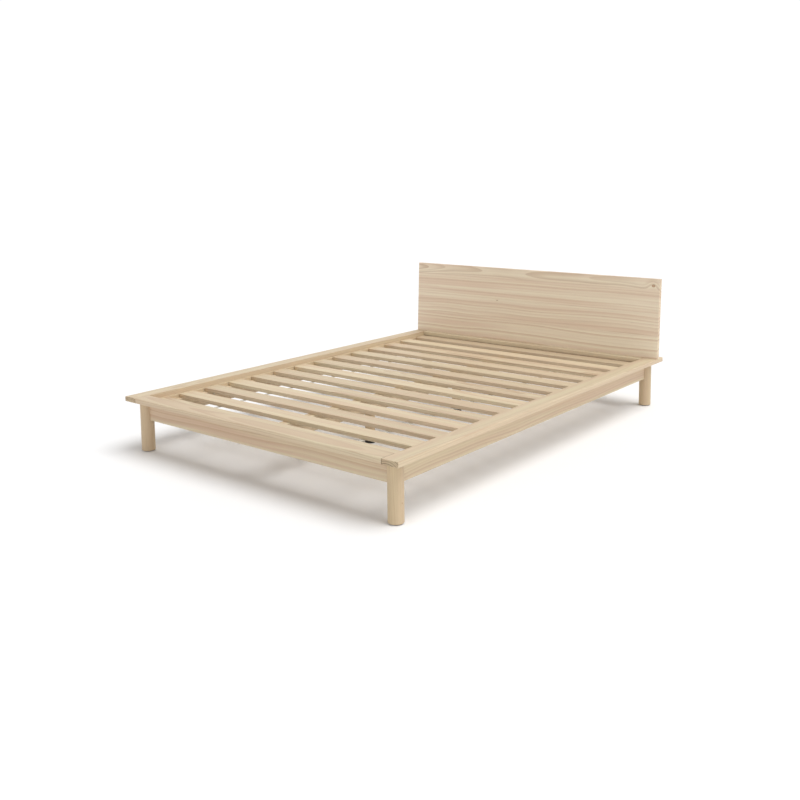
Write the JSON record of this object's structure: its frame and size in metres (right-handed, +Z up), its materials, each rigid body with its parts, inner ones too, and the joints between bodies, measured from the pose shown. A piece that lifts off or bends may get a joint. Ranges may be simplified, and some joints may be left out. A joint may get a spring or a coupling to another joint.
{
  "type": "double bed frame",
  "caption": "Low pine platform bed frame with a wide ledge, round legs, slatted base and a leaning plain headboard.",
  "frame": {"origin": "on the floor, under the middle of the ledge", "axes": "+X to the right seen from the foot, +Y from the foot to the head along the bed, +Z up"},
  "size_m": [1.56, 2.195, 0.6648],
  "materials": {
    "ledge_pine": "matte clear finish",
    "apron_pine": "matte clear finish",
    "leg_pine": "matte clear finish",
    "headboard_pine": "matte clear finish",
    "post_pine": "matte clear finish",
    "slat_pine": "planed, unfinished",
    "bearer_pine": "planed, unfinished",
    "zinc_steel": "zinc plated",
    "felt": "pressed felt",
    "black_plastic": "fine texture",
    "webbing": "woven tape"
  },
  "bodies": {
    "bed_frame": {"side_board_left": "ledge_pine", "side_board_right": "ledge_pine", "foot_board": "ledge_pine", "head_board": "ledge_pine", "side_apron_left": "apron_pine", "side_apron_right": "apron_pine", "foot_apron": "apron_pine", "head_apron": "apron_pine", "leg_foot_left": "leg_pine", "glide_foot_left": "felt", "corner_bracket_foot_left": "zinc_steel", "corner_bolt_foot_left": "zinc_steel", "leg_foot_right": "leg_pine", "glide_foot_right": "felt", "corner_bracket_foot_right": "zinc_steel", "corner_bolt_foot_right": "zinc_steel", "leg_head_left": "leg_pine", "glide_head_left": "felt", "corner_bracket_head_left": "zinc_steel", "corner_bolt_head_left": "zinc_steel", "leg_head_right": "leg_pine", "glide_head_right": "felt", "corner_bracket_head_right": "zinc_steel", "corner_bolt_head_right": "zinc_steel", "headboard_panel": "headboard_pine", "headboard_post_left": "post_pine", "post_bolt_left_foot": "zinc_steel", "post_bolt_left_lower": "zinc_steel", "post_bolt_left_upper": "zinc_steel", "slat_cleat_left": "bearer_pine", "slat_strap_left": "webbing", "headboard_post_right": "post_pine", "post_bolt_right_foot": "zinc_steel", "post_bolt_right_lower": "zinc_steel", "post_bolt_right_upper": "zinc_steel", "slat_cleat_right": "bearer_pine", "slat_strap_right": "webbing", "centre_beam": "bearer_pine", "beam_hanger_foot": "zinc_steel", "centre_leg_foot": "leg_pine", "beam_hanger_head": "zinc_steel", "centre_leg_head": "leg_pine", "slat_01": "slat_pine", "slat_02": "slat_pine", "slat_03": "slat_pine", "slat_04": "slat_pine", "slat_05": "slat_pine", "slat_06": "slat_pine", "slat_07": "slat_pine", "slat_08": "slat_pine", "slat_09": "slat_pine", "slat_10": "slat_pine", "slat_11": "slat_pine", "slat_12": "slat_pine", "slat_13": "slat_pine", "slat_14": "slat_pine"},
    "pad_foot": {"levelling_pad_foot": "black_plastic"},
    "pad_head": {"levelling_pad_head": "black_plastic"},
    "stem_foot": {"levelling_stem_foot": "zinc_steel"},
    "stem_head": {"levelling_stem_head": "zinc_steel"}
  },
  "joints": [
    {"name": "pad_foot_slide", "type": "slide", "parent": "bed_frame", "child": "pad_foot", "axis": [0, 0, -1], "range_m": [-0.0075, 0.015]},
    {"name": "stem_foot_turn", "type": "hinge", "parent": "pad_foot", "child": "stem_foot", "pos_m": [0, -0.34, 0.0035], "axis": [0, 0, -1], "range_deg": [-1801, 3601]},
    {"name": "pad_head_slide", "type": "slide", "parent": "bed_frame", "child": "pad_head", "axis": [0, 0, -1], "range_m": [-0.0075, 0.015]},
    {"name": "stem_head_turn", "type": "hinge", "parent": "pad_head", "child": "stem_head", "pos_m": [0, 0.34, 0.0035], "axis": [0, 0, -1], "range_deg": [-1801, 3601]}
  ],
  "couplings": [
    {"joint": "stem_foot_turn", "follows": "pad_foot_slide", "rad_per_m": 4188.8},
    {"joint": "stem_head_turn", "follows": "pad_head_slide", "rad_per_m": 4188.8}
  ]
}
